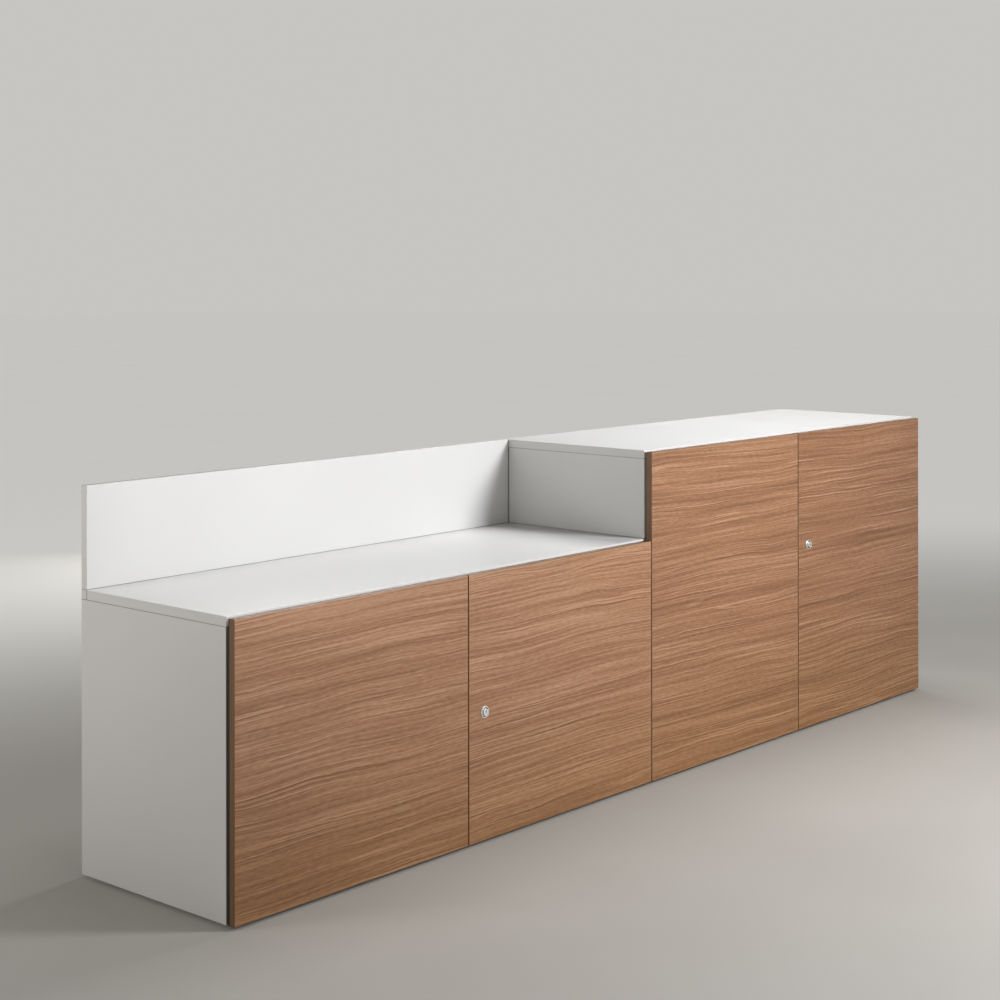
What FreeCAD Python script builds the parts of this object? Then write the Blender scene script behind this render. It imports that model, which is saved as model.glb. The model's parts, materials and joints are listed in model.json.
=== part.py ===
import FreeCAD, Part
import os
from math import cos, radians, sin, sqrt, tan

# An office sideboard: a low unit with a rear screen, bolted to a tall unit, each closed by two doors.
# X runs along the front from left to right, Y from the doors to the back, Z up from the floor.
# The origin lies on the floor, under the middle of the whole object's box. Sizes are in millimetres.

# Overall sizes
DOOR_PITCH = 600.0  # one door bay, two to a unit
LOW_HEIGHT = 533.0  # foot of the side boards to the low top's upper face
TALL_HEIGHT = 728.0  # foot of the side boards to the tall top's upper face
DEPTH = 433.0  # door face to back edge
FOOT_STAND = 6.0  # floor to the foot of the side boards

# Boards
BOARD = 18.0
SCREEN_BOARD = 16.0
SHELF_BOARD = 25.0
BACK_BOARD = 8.0
DOOR_BOARD = 16.0
BOARD_EASE = 0.6  # rounding of a board's edges
EDGE_BAND = 1.0
EDGE_ROUND = 0.8  # rounding of the doors' edge bands
BACK_INSET = 20.0  # back edge to the outer face of the back board
GROOVE = 6.0  # depth of the grooves that hold the back board
GROOVE_FIT = 0.2
SHELF_SETBACK = 40.0
SHELF_FIT = 1.0

# Doors
DOOR_REVEAL = 1.1  # door edge to the line of its bay
DOOR_DROP = 3.0  # door top below the upper face of the top
DOOR_STANDOFF = 4.0  # clear gap between a door and the carcass
HINGE_INSET = 90.0  # door end to the middle of a hinge
BUMPER_R = 5.0
BUMPER_CROWN_R = 3.5
BUMPER_FIT = 0.3
BUMPER_INSET = 75.0  # free edge of a door to its bumpers

# Board fittings
FIT = 0.05  # round pieces seated in the boards
FITTING_INSET = 70.0  # front and back edges to the cam fittings
CAM_R = 7.5
CAM_DEPTH = 12.5
CAM_SETBACK = 24.0  # joint to the middle of the cam
CAM_BORE_R = 4.0
CAM_SLOT_WIDTH = 1.6  # slot for the screwdriver
CAM_SLOT_LENGTH = 9.0
CAM_SLOT_DEPTH = 2.2
BOLT_THREAD_R = 2.5
BOLT_THREAD = 11.0
BOLT_COLLAR_R = 3.5
BOLT_COLLAR = 2.0
BOLT_NECK_R = 2.0
BOLT_HEAD_R = 3.0
BOLT_PLAY = 0.4
DOWEL_R = 4.0
DOWEL_SHORT = 11.5  # into the board that is met face on
DOWEL_LONG = 18.0  # into the end of the other board
DOWEL_CHAMFER = 1.0
DOWEL_PLAY = 0.5  # at the bottom of its holes
DOWEL_STEP = 32.0  # cam to dowel
SCREW_R = 3.5
SCREW_HEAD_R = 5.0
SCREW_HEAD = 3.0
SCREW_GRIP = 40.0  # into the screen's foot
SCREEN_SCREWS = 4
SCREEN_SCREW_INSET = 90.0
LINK_SLEEVE_R = 4.0
LINK_SCREW_R = 3.0
LINK_HEAD_R = 7.5
LINK_HEAD = 1.5
LINK_GAP = 2.0  # sleeve end to the far board face
LINK_INSET = 110.0  # front and back edges to the bolts that join the units
LINK_LOW = 150.0  # foot of the side boards to the lower bolts
LINK_HIGH = 405.0  # foot of the side boards to the upper bolts

# Shelf pins and levellers
PIN_R = 2.5
PIN_HOLE = 10.0
PIN_PLAY = 1.0  # at the bottom of its hole
PIN_SEAT = 8.0  # reach under the shelf
PIN_COLLAR_R = 4.0
PIN_COLLAR = 1.2
PIN_FLAT = 2.0  # axis to the flat that carries the shelf
PIN_PITCH = 32.0
PIN_INSET = 64.0  # front and back edges to the pin rows
FOOT_INSET = 45.0
FOOT_PAD_R = 14.0
FOOT_PAD = 4.0
FOOT_RIM = 1.0  # bevel and height of the pad's rim, and bevel of the stem
FOOT_STEM_R = 4.0
INSERT_R = 6.0
INSERT = 12.0

# Concealed hinges
CUP_R = 17.5
CUP_CENTRE = 22.0  # hinge edge of the door to the middle of the cup
CUP_SKIN = 2.2  # door left in front of the cup
CUP_WALL = 0.8
CUP_FLANGE = 1.0
CUP_FLANGE_R = 18.5
CUP_EAR = 31.0  # reach of the flange up and down
CUP_EAR_R = 8.0
CUP_SCREW = 24.0
CUP_SCREW_R = 2.0
PIVOT_IN = 10.0  # hinge edge of the door to the pivot
PIVOT_R = 1.2
PIVOT_FIT = 0.05
EYE_R = 1.9
EYE_CLEAR = 0.25
ARM_WIDTH = 11.0
ARM_SHEET = 1.5
ARM_HOOK = 2.0
ARM_LEG = 3.0
ARM_BEND = 1.0  # inner rounding of the arm's bends
ARM_ROUND = 2.0  # outer rounding of its tail and shoulder
ARM_LEG_CLEAR = 0.9  # to the swing of the door's corner
ARM_SHOULDER = 10.0  # door's back to where the neck widens
ARM_REACH = 66.0  # door's back to the arm's tail
ARM_LIFT = 3.5  # side board to the arm's open edge
PLATE_LINE = 37.0  # carcass front edge to the plate's screws
PLATE_WING = 24.0
PLATE_WING_R = 9.0
PLATE_WING_BOARD = 2.0
PLATE_SCREW = 16.0
PLATE_SCREW_R = 2.6
PLATE_HALF = 22.0
PLATE_SLOPE = 4.0  # run of the rail's sloped ends
PLATE_ROUND = 1.0
PLATE_FIT = 0.3

# Locks, their rods and the surface bolts
LOCK_INSET = 46.0  # free edge of the door to the lock
LOCK_DROP = 279.0  # upper face of the top to the lock
LOCK_PROUD = 2.0  # flange in front of the door
LOCK_FLANGE_R = 12.0
LOCK_FLANGE_BEVEL = 0.8
LOCK_DISH = 1.8  # run of the slope from the flange's face into its mouth
LOCK_DISH_DEEP = 1.3
LOCK_R = 9.5
LOCK_FLAT = 8.2  # axis to the flats on the barrel
LOCK_TAIL = 8.0  # barrel behind the door
LOCK_NUT = 4.0
LOCK_NUT_FLATS = 24.0
LOCK_NUT_ROUND = 1.0
LOCK_TURN = 90.0  # degrees from open to locked
PLUG_R = 7.0
PLUG_HEAD_R = 8.0
PLUG_RECESS = 0.9  # plug's face behind the flange's
PLUG_BEVEL = 0.5
PLUG_SQUARE = 7.0
PLUG_GAP = 0.2  # barrel to driver
KEYWAY_WIDTH = 2.4
KEYWAY_LENGTH = 8.5
KEYWAY_DEPTH = 5.0
DRIVER = 2.5
DRIVER_RIM = 2.0
DRIVER_PIN_R = 2.0
DRIVER_PIN = 4.5
ROD_TRAVEL = 10.0
ROD_R = 3.5
ROD_OFFSET = 12.5  # door's back to the rod's axis
ROD_TIP = 1.5
ROD_CLEAR = 1.8  # rod tip to its keeper when drawn back
TONGUE = 2.6
TONGUE_RIM = 2.5
TONGUE_GAP = 0.6  # lock axis to the near edge of a tongue
TONGUE_RISE = 14.0  # lock axis to the foot of the stem
TONGUE_ROUND = 1.5
SLOT_FIT = 0.5
GUIDE_FIT = 0.06
GUIDE_WALL = 2.5
GUIDE_FOOT = 13.0
GUIDE_HEIGHT = 12.0
GUIDE_ROUND = 1.0
GUIDE_FILLET = 2.0
GUIDE_INSET = 40.0  # lock axis or rod tip to a guide
KEEPER_R = 5.0
KEEPER_BORE_R = 3.9
KEEPER_FLANGE_R = 7.5
KEEPER_FLANGE = 1.2
KEEPER = 11.0
BOLT_INSET = 30.0  # free edge of the door to its surface bolt
BOLT_LENGTH = 72.0
BOLT_CASE = 54.0
BOLT_NOSE = 10.0  # bolt tip beyond its case when drawn back
KNOB_R = 3.0
KNOB_REACH = 13.0  # rod axis to the knob's face
KNOB_FIT = 0.4

# Levels and lines that follow from the sizes above
Y_LOCK = -(DEPTH + LOCK_PROUD) / 2
Y_FACE = Y_LOCK + LOCK_PROUD
Y_DOOR_BACK = Y_FACE + DOOR_BOARD
Y_FRONT = Y_DOOR_BACK + DOOR_STANDOFF
Y_BACK = Y_FACE + DEPTH
Y_ROD = Y_DOOR_BACK + ROD_OFFSET
BASE = FOOT_STAND
DECK = BASE + BOARD
FITTING_LINES = (Y_FRONT + FITTING_INSET, Y_BACK - FITTING_INSET)
PIN_LINES = (Y_FRONT + PIN_INSET, Y_BACK - BACK_INSET - BACK_BOARD - PIN_INSET)
CUP_DEPTH = DOOR_BOARD - CUP_SKIN
PIVOT_DEEP = CUP_DEPTH - CUP_WALL - EYE_R - EYE_CLEAR
PIN_RISE = ROD_TRAVEL / 2
PIN_ORBIT = PIN_RISE / sin(radians(LOCK_TURN / 2))
PIN_OUT = PIN_ORBIT * cos(radians(LOCK_TURN / 2))

V = FreeCAD.Vector
X = V(1, 0, 0)
Y = V(0, 1, 0)
Z = V(0, 0, 1)
TOUCHING = 1e-6  # points nearer than this are one point


class Unit:
    """One carcass of two bays: its ends, levels and shelf height."""

    def __init__(self, name, left, height):
        self.name = name
        self.left = left
        self.right = left + 2 * DOOR_PITCH
        self.top = BASE + height
        self.ceiling = self.top - BOARD
        self.shelf = (DECK + self.ceiling - SHELF_BOARD) / 2

    def end(self, side):
        """Outer face of a side board, and the way inwards from it."""
        return (self.left, 1) if side == "left" else (self.right, -1)


class Door:
    """One door. Its hand is 1 when hinged on the left and -1 when hinged on the right."""

    def __init__(self, number, unit, hand):
        bay = unit.left if hand > 0 else unit.left + DOOR_PITCH
        self.name = f"door_{number}"
        self.unit = unit
        self.hand = hand
        self.left = bay + DOOR_REVEAL
        self.right = bay + DOOR_PITCH - DOOR_REVEAL
        self.top = unit.top - DOOR_DROP
        self.hinge_x = self.left if hand > 0 else self.right
        self.free_x = self.right if hand > 0 else self.left
        self.levels = (BASE + HINGE_INSET, self.top - HINGE_INSET)
        self.locks = hand < 0
        self.rod_x = self.free_x - hand * (LOCK_INSET if self.locks else BOLT_INSET)
        self.lock_z = unit.top - LOCK_DROP
        self.top_tip = unit.ceiling - KEEPER_FLANGE - ROD_CLEAR
        self.foot_tip = DECK + KEEPER_FLANGE + ROD_CLEAR


LOW = Unit("low", -2 * DOOR_PITCH, LOW_HEIGHT)
TALL = Unit("tall", 0.0, TALL_HEIGHT)
UNITS = (LOW, TALL)
DOORS = (Door(1, LOW, 1), Door(2, LOW, -1), Door(3, TALL, 1), Door(4, TALL, -1))


# Shared shapes

def block(low, high):
    """Square block between two corners."""
    return Part.makeBox(high[0] - low[0], high[1] - low[1], high[2] - low[2], V(*low))


def board(low, high, ease=BOARD_EASE):
    """Block with every edge eased."""
    raw = block(low, high)
    return raw.makeFillet(ease, raw.Edges)


def turned(profile):
    """Solid of revolution about Z from a closed profile of (radius, height) points."""
    wire = Part.makePolygon([V(r, 0, h) for r, h in profile + profile[:1]])
    return Part.Face(wire).revolve(V(), Z, 360)


def outline(corners):
    """Face in the XY plane through (x, y, radius) corners, each rounded by a tangent arc."""
    edges = []
    stops = []
    for i, (x, y, radius) in enumerate(corners):
        here = V(x, y, 0)
        back = V(corners[i - 1][0], corners[i - 1][1], 0) - here
        ahead = V(corners[(i + 1) % len(corners)][0], corners[(i + 1) % len(corners)][1], 0) - here
        half = back.getAngle(ahead) / 2
        back.normalize()
        ahead.normalize()
        reach = radius / tan(half)
        stops.append((here + back * reach, here + ahead * reach))
        if radius > 0:
            middle = back + ahead
            middle.normalize()
            crest = here + middle * (radius / sin(half) - radius)
            edges.append(Part.Arc(stops[i][0], crest, stops[i][1]).toShape())
    for i, (start, _) in enumerate(stops):
        if stops[i - 1][1].distanceToPoint(start) > TOUCHING:
            edges.append(Part.LineSegment(stops[i - 1][1], start).toShape())
    return Part.Face(Part.Wire(Part.__sortEdges__(edges)))


def pill(half_x, half_y):
    """Rounded bar about the origin in the XY plane, its ends half round."""
    radius = min(half_x, half_y)
    return outline([(half_x * sx, half_y * sy, radius) for sx, sy in ((-1, -1), (1, -1), (1, 1), (-1, 1))])


def seat(shape, origin, along, across):
    """Copy of a shape drawn about Z, with Z turned to `along` and X to `across`, moved to `origin`."""
    turn = FreeCAD.Rotation(across, along.cross(across), along, "ZXY")
    return shape.transformed(FreeCAD.Placement(origin, turn).toMatrix(), True)


def bar(radius, start, along, length):
    return Part.makeCylinder(radius, length, start, along)


# Fittings that join the boards. Each is drawn at a joint on Z = 0: the board that is met face on lies
# below it, and the board that is met end on lies above it, with its cam face towards +X.

def cam_seats(unit, side):
    """Places of the cams at one end: those under the top, then those at the bottom board."""
    outer, inward = unit.end(side)
    under_top = [(V(outer + inward * BOARD / 2, y, unit.ceiling), -Z, X * inward) for y in FITTING_LINES]
    at_bottom = [(V(outer + inward * BOARD, y, BASE + BOARD / 2), X * inward, -Z) for y in FITTING_LINES]
    return under_top, at_bottom


def dowel_seats(cams):
    steps = (Y * -DOWEL_STEP, Y * DOWEL_STEP)
    return [(spot + step, along, across) for spot, along, across in cams for step in steps]


def cam_disc():
    face = BOARD / 2 - FIT
    disc = bar(CAM_R - FIT, V(face - CAM_DEPTH + 2 * FIT, 0, CAM_SETBACK), X, CAM_DEPTH - 2 * FIT)
    throat = bar(BOLT_HEAD_R + BOLT_PLAY, V(), Z, CAM_SETBACK + BOLT_HEAD_R + BOLT_PLAY)
    slot = block((face - CAM_SLOT_DEPTH, -CAM_SLOT_LENGTH / 2, CAM_SETBACK - CAM_SLOT_WIDTH / 2),
                 (face + CAM_SLOT_DEPTH, CAM_SLOT_LENGTH / 2, CAM_SETBACK + CAM_SLOT_WIDTH / 2))
    return disc.cut([throat, slot])


def cam_bolt():
    neck_end = CAM_SETBACK - BOLT_HEAD_R
    return turned([(0, -BOLT_THREAD), (BOLT_THREAD_R, -BOLT_THREAD), (BOLT_THREAD_R, 0), (BOLT_COLLAR_R, 0),
                   (BOLT_COLLAR_R, BOLT_COLLAR), (BOLT_NECK_R, BOLT_COLLAR), (BOLT_NECK_R, neck_end),
                   (BOLT_HEAD_R, CAM_SETBACK), (BOLT_NECK_R, CAM_SETBACK + BOLT_HEAD_R),
                   (0, CAM_SETBACK + BOLT_HEAD_R)])


def cam_bolt_hole():
    return bar(BOLT_THREAD_R + FIT, Z * -(BOLT_THREAD + FIT), Z, BOLT_THREAD + FIT)


def cam_bores():
    throat = bar(CAM_BORE_R, V(), Z, CAM_SETBACK)
    pocket = bar(CAM_R, V(BOARD / 2 - CAM_DEPTH, 0, CAM_SETBACK), X, CAM_DEPTH)
    return throat.fuse(pocket)


def dowel():
    tip = DOWEL_R - DOWEL_CHAMFER
    return turned([(0, -DOWEL_SHORT), (tip, -DOWEL_SHORT), (DOWEL_R, -DOWEL_SHORT + DOWEL_CHAMFER),
                   (DOWEL_R, DOWEL_LONG - DOWEL_CHAMFER), (tip, DOWEL_LONG), (0, DOWEL_LONG)])


def dowel_hole():
    low = DOWEL_SHORT + DOWEL_PLAY
    return bar(DOWEL_R + FIT, Z * -low, Z, low + DOWEL_LONG + DOWEL_PLAY)


def fittings(shape, seats):
    return [seat(shape, *place) for place in seats]


# Carcass boards

def back_space(unit, slack):
    """Room that the back board takes in its grooves, larger all round by `slack`."""
    outer = Y_BACK - BACK_INSET
    low = (unit.left + BOARD - GROOVE - slack, outer - BACK_BOARD - slack, DECK - GROOVE)
    high = (unit.right - BOARD + GROOVE + slack, outer + slack, unit.ceiling + GROOVE + slack)
    return low, high


def keeper_seats(unit):
    """Places of the keepers under the top and in the bottom board, with the way into the board."""
    doors = [door for door in DOORS if door.unit is unit]
    above = [(V(door.rod_x, Y_ROD, unit.ceiling), Z, X) for door in doors]
    below = [(V(door.rod_x, Y_ROD, DECK), -Z, X) for door in doors if door.locks]
    return above, below


def keeper_hole():
    return bar(KEEPER_R + FIT, V(), Z, KEEPER + FIT)


def screw_seats():
    span = LOW.right - LOW.left - 2 * SCREEN_SCREW_INSET
    step = span / (SCREEN_SCREWS - 1)
    start = LOW.left + SCREEN_SCREW_INSET
    line = Y_BACK - SCREEN_BOARD / 2
    return [(V(start + i * step, line, LOW.ceiling), Z, X) for i in range(SCREEN_SCREWS)]


def screw_hole():
    head = bar(SCREW_HEAD_R + FIT, V(), Z, SCREW_HEAD + FIT)
    return head.fuse(bar(SCREW_R + FIT, V(), Z, BOARD + SCREW_GRIP + FIT))


def foot_seats(unit):
    inset = BOARD + FOOT_INSET
    columns = (unit.left + inset, (unit.left + unit.right) / 2, unit.right - inset)
    return [(V(x, y, BASE), Z, X) for x in columns for y in (Y_FRONT + FOOT_INSET, Y_BACK - FOOT_INSET)]


def link_seats():
    lines = (Y_FRONT + LINK_INSET, Y_BACK - LINK_INSET)
    return [(V(LOW.right, y, BASE + level), X, Y) for y in lines for level in (LINK_LOW, LINK_HIGH)]


def shelf_pin_seats(unit, side):
    outer, inward = unit.end(side)
    level = unit.shelf - PIN_FLAT
    return [(V(outer + inward * BOARD, y, level), X * inward, Z) for y in PIN_LINES]


def side_board(unit, side):
    outer, inward = unit.end(side)
    inner = outer + inward * BOARD
    low, high = min(outer, inner), max(outer, inner)
    under_top, at_bottom = cam_seats(unit, side)
    pin_hole = bar(PIN_R + FIT, Z * -PIN_HOLE, Z, PIN_HOLE)
    cuts = [block(*back_space(unit, GROOVE_FIT))]
    cuts += fittings(cam_bores(), under_top)
    cuts += fittings(cam_bolt_hole(), at_bottom)
    cuts += fittings(dowel_hole(), dowel_seats(under_top) + dowel_seats(at_bottom))
    for spot, along, across in shelf_pin_seats(unit, side):
        cuts += [seat(pin_hole, spot + Z * step, along, across) for step in (-PIN_PITCH, 0, PIN_PITCH)]
    if abs(outer - LOW.right) < TOUCHING:
        cuts += fittings(bar(LINK_SLEEVE_R + FIT, Z * -BOARD, Z, 2 * BOARD), link_seats())
    return board((low, Y_FRONT, BASE), (high, Y_BACK, unit.ceiling)).cut(cuts)


def top_board(unit):
    cuts = [block(*back_space(unit, GROOVE_FIT))]
    for side in ("left", "right"):
        under_top, _ = cam_seats(unit, side)
        cuts += fittings(cam_bolt_hole(), under_top)
        cuts += fittings(dowel_hole(), dowel_seats(under_top))
    cuts += fittings(keeper_hole(), keeper_seats(unit)[0])
    if unit is LOW:
        cuts += fittings(screw_hole(), screw_seats())
    return board((unit.left, Y_FRONT, unit.ceiling), (unit.right, Y_BACK, unit.top)).cut(cuts)


def bottom_board(unit):
    cuts = [block(*back_space(unit, GROOVE_FIT))]
    for side in ("left", "right"):
        _, at_bottom = cam_seats(unit, side)
        cuts += fittings(cam_bores(), at_bottom)
        cuts += fittings(dowel_hole(), dowel_seats(at_bottom))
    cuts += fittings(keeper_hole(), keeper_seats(unit)[1])
    cuts += fittings(bar(INSERT_R + FIT, V(), Z, INSERT + FIT), foot_seats(unit))
    return board((unit.left + BOARD, Y_FRONT, BASE), (unit.right - BOARD, Y_BACK, DECK)).cut(cuts)


def back_panel(unit):
    return block(*back_space(unit, 0))


def shelf(unit):
    behind = Y_BACK - BACK_INSET - BACK_BOARD - SHELF_FIT
    low = (unit.left + BOARD + SHELF_FIT, Y_FRONT + SHELF_SETBACK, unit.shelf)
    high = (unit.right - BOARD - SHELF_FIT, behind, unit.shelf + SHELF_BOARD)
    return board(low, high)


def rear_screen():
    panel = board((LOW.left, Y_BACK - SCREEN_BOARD, LOW.top), (LOW.right, Y_BACK, TALL.top))
    return panel.cut(fittings(screw_hole(), screw_seats()))


# Loose pieces of the carcass, each drawn on Z = 0 at the face that it is fixed to

def shelf_pin():
    end = PIN_PLAY - PIN_HOLE
    pin = turned([(0, end), (PIN_R, end), (PIN_R, 0), (PIN_COLLAR_R, 0),
                  (PIN_COLLAR_R, PIN_COLLAR), (PIN_R, PIN_COLLAR), (PIN_R, PIN_SEAT), (0, PIN_SEAT)])
    above = block((PIN_FLAT, -PIN_COLLAR_R, 0), (2 * PIN_COLLAR_R, PIN_COLLAR_R, 2 * PIN_SEAT))
    return pin.cut(above)


def leveller_foot():
    pad_top = FOOT_PAD - BASE
    return turned([(0, -BASE), (FOOT_PAD_R - FOOT_RIM, -BASE), (FOOT_PAD_R, FOOT_RIM - BASE),
                   (FOOT_PAD_R, 2 * FOOT_RIM - BASE), (FOOT_PAD_R / 2, pad_top), (FOOT_STEM_R, pad_top),
                   (FOOT_STEM_R, INSERT - FOOT_RIM), (FOOT_STEM_R - FOOT_RIM, INSERT), (0, INSERT)])


def leveller_insert():
    return bar(INSERT_R, V(), Z, INSERT).cut(bar(FOOT_STEM_R + FIT, V(), Z, INSERT))


def screen_screw():
    end = BOARD + SCREW_GRIP
    point = SCREW_R
    return turned([(0, 0), (SCREW_HEAD_R, 0), (SCREW_HEAD_R, SCREW_HEAD), (SCREW_R, SCREW_HEAD),
                   (SCREW_R, end - point), (0, end)])


def link_sleeve():
    head = -BOARD - LINK_HEAD
    bore = LINK_SCREW_R + FIT
    end = BOARD - LINK_GAP
    return turned([(0, head), (LINK_HEAD_R, head), (LINK_HEAD_R, -BOARD), (LINK_SLEEVE_R, -BOARD),
                   (LINK_SLEEVE_R, end), (bore, end), (bore, -BOARD + LINK_GAP), (0, -BOARD + LINK_GAP)])


def link_screw():
    head = BOARD + LINK_HEAD
    tip = -BOARD + 2 * LINK_GAP
    return turned([(0, tip), (LINK_SCREW_R, tip), (LINK_SCREW_R, BOARD), (LINK_HEAD_R, BOARD),
                   (LINK_HEAD_R, head), (0, head)])


def keeper():
    return turned([(KEEPER_BORE_R, -KEEPER_FLANGE), (KEEPER_FLANGE_R, -KEEPER_FLANGE), (KEEPER_FLANGE_R, 0),
                   (KEEPER_R, 0), (KEEPER_R, KEEPER), (KEEPER_BORE_R, KEEPER)])


def bumper():
    height = DOOR_STANDOFF - BUMPER_FIT
    return turned([(0, 0), (BUMPER_R, 0), (BUMPER_R, height / 2), (BUMPER_CROWN_R, height), (0, height)])


def bumper_seats():
    seats = []
    for door in DOORS:
        x = door.free_x - door.hand * BUMPER_INSET
        for z in (BASE + BOARD / 2, door.unit.top - BOARD / 2):
            seats.append((V(x, Y_FRONT, z), -Y, X))
    return seats


# Concealed hinge, drawn for a door hinged on the left: X from the door's hinge edge, Y from its back face
# into the carcass, Z from the middle of the hinge

def hinge_seats(doors):
    spots = [(V(door.hinge_x, Y_DOOR_BACK, z), door.hand) for door in doors for z in door.levels]
    return [(spot, Z * hand, X * hand) for spot, hand in spots]


def pivot(radius, length):
    return bar(radius, V(PIVOT_IN, -PIVOT_DEEP, -length / 2), Z, length)


def hinge_cup():
    inner = CUP_R - CUP_WALL
    floor = -CUP_DEPTH + CUP_WALL
    shell = turned([(0, -CUP_DEPTH), (CUP_R, -CUP_DEPTH), (CUP_R, 0), (CUP_FLANGE_R, 0),
                    (CUP_FLANGE_R, CUP_FLANGE), (inner, CUP_FLANGE), (inner, floor), (0, floor)])
    flange = pill(CUP_EAR_R, CUP_EAR).extrude(Z * CUP_FLANGE)
    holes = [bar(inner, V(), Z, CUP_FLANGE)]
    holes += [bar(CUP_SCREW_R, Y * y, Z, CUP_FLANGE) for y in (-CUP_SCREW, CUP_SCREW)]
    cup = seat(shell.fuse(flange.cut(holes)), X * CUP_CENTRE, Y, X)
    return cup.cut(pivot(PIVOT_R + PIVOT_FIT, 2 * CUP_R))


def cup_bore():
    return bar(CUP_R + FIT, V(CUP_CENTRE, -CUP_DEPTH - FIT, 0), Y, CUP_DEPTH + FIT)


def hinge_pin():
    """Pin across the cup, its ends trimmed flush with the cup's outer wall."""
    return pivot(PIVOT_R, 2 * CUP_R).common(bar(CUP_R, V(CUP_CENTRE, -CUP_DEPTH, 0), Y, CUP_DEPTH))


def arm_leg():
    """Near and far faces of the arm's leg, clear of the corner that the door swings past it."""
    near = PIVOT_IN + sqrt(PIVOT_IN ** 2 + PIVOT_DEEP ** 2) + ARM_LEG_CLEAR
    return near, near + ARM_LEG


def hinge_arm():
    near, far = arm_leg()
    foot = BOARD - DOOR_REVEAL + ARM_LIFT
    deep = -PIVOT_DEEP - ARM_HOOK / 2
    shallow = -PIVOT_DEEP + ARM_HOOK / 2
    widened = ARM_SHOULDER + near - foot
    neck = outline([(PIVOT_IN, deep, 0), (far, deep, ARM_LEG + ARM_BEND), (far, ARM_REACH, ARM_ROUND),
                    (foot, ARM_REACH, ARM_BEND), (foot, widened, 0), (near, ARM_SHOULDER, ARM_ROUND),
                    (near, shallow, ARM_BEND), (PIVOT_IN, shallow, 0)])
    solid = neck.extrude(Z * ARM_WIDTH)
    solid.translate(Z * (-ARM_WIDTH / 2))
    half = ARM_WIDTH / 2 - ARM_SHEET
    channel = block((foot - ARM_SHEET, widened, -half), (far - ARM_SHEET, ARM_REACH + ARM_SHEET, half))
    eye = pivot(EYE_R, ARM_WIDTH)
    return solid.fuse(eye).cut([pivot(PIVOT_R + PIVOT_FIT, ARM_WIDTH), channel])


def hinge_plate():
    _, far = arm_leg()
    wall = BOARD - DOOR_REVEAL
    centre = DOOR_STANDOFF + PLATE_LINE
    crest = far - ARM_SHEET
    half = ARM_WIDTH / 2 - ARM_SHEET - PLATE_FIT
    near_end = centre - PLATE_HALF
    far_end = centre + PLATE_HALF
    saddle = outline([(wall, near_end, 0), (crest, near_end + PLATE_SLOPE, PLATE_ROUND),
                      (crest, far_end - PLATE_SLOPE, PLATE_ROUND), (wall, far_end, 0)])
    rail = saddle.extrude(Z * 2 * half)
    rail.translate(Z * -half)
    plate = pill(PLATE_WING_R, PLATE_WING).extrude(Z * PLATE_WING_BOARD)
    holes = [bar(PLATE_SCREW_R, Y * y, Z, PLATE_WING_BOARD) for y in (-PLATE_SCREW, PLATE_SCREW)]
    return rail.fuse(seat(plate.cut(holes), V(wall, centre, 0), X, Y))


# Doors

def door_panel(door):
    core = block((door.left + EDGE_BAND, Y_FACE, BASE + EDGE_BAND),
                 (door.right - EDGE_BAND, Y_DOOR_BACK, door.top - EDGE_BAND))
    cuts = fittings(cup_bore(), hinge_seats([door]))
    if door.locks:
        cuts.append(bar(LOCK_R + FIT, V(door.rod_x, Y_FACE, door.lock_z), Y, DOOR_BOARD))
    return core.cut(cuts)


def door_edge_band(door):
    ease = min(EDGE_ROUND, EDGE_BAND)
    outer = board((door.left, Y_FACE, BASE), (door.right, Y_DOOR_BACK, door.top), ease)
    core = block((door.left + EDGE_BAND, Y_FACE, BASE + EDGE_BAND),
                 (door.right - EDGE_BAND, Y_DOOR_BACK, door.top - EDGE_BAND))
    return outer.cut(core)


# Rod lock, drawn about the lock's axis: Z into the carcass from the door's back face where it is turned on
# the axis, and otherwise X to the right, Y into the carcass and Z up

def lock_barrel():
    front = -DOOR_BOARD - LOCK_PROUD
    ledge = -DOOR_BOARD + PLUG_GAP
    bore = PLUG_R + PIVOT_FIT
    mouth = PLUG_HEAD_R + PIVOT_FIT
    sleeve = turned([(mouth, front + LOCK_DISH_DEEP), (mouth + LOCK_DISH, front),
                     (LOCK_FLANGE_R - LOCK_FLANGE_BEVEL, front),
                     (LOCK_FLANGE_R, front + LOCK_FLANGE_BEVEL), (LOCK_FLANGE_R, -DOOR_BOARD),
                     (LOCK_R, -DOOR_BOARD), (LOCK_R, LOCK_TAIL), (bore, LOCK_TAIL), (bore, ledge),
                     (mouth, ledge)])
    flat = block((LOCK_FLAT, -LOCK_R, -DOOR_BOARD), (LOCK_R, LOCK_R, LOCK_TAIL))
    return sleeve.cut([flat, flat.mirror(V(), X)])


def lock_nut():
    corner = LOCK_NUT_FLATS / 2 / cos(radians(30))
    angles = [radians(60 * i) for i in range(6)]
    hexagon = outline([(corner * cos(angle), corner * sin(angle), LOCK_NUT_ROUND) for angle in angles])
    return hexagon.extrude(Z * LOCK_NUT).cut(bar(LOCK_R + FIT, V(), Z, LOCK_NUT))


def lock_plug():
    face = -DOOR_BOARD - LOCK_PROUD + PLUG_RECESS
    shoulder = LOCK_TAIL + PLUG_GAP
    half = PLUG_SQUARE / 2
    body = turned([(0, face), (PLUG_HEAD_R - PLUG_BEVEL, face), (PLUG_HEAD_R, face + PLUG_BEVEL),
                   (PLUG_HEAD_R, -DOOR_BOARD), (PLUG_R, -DOOR_BOARD),
                   (PLUG_R, shoulder), (0, shoulder)])
    square = block((-half, -half, shoulder), (half, half, shoulder + DRIVER))
    keyway = block((-KEYWAY_WIDTH / 2, -KEYWAY_LENGTH / 2, face),
                   (KEYWAY_WIDTH / 2, KEYWAY_LENGTH / 2, face + KEYWAY_DEPTH))
    return body.fuse(square).cut(keyway)


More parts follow.
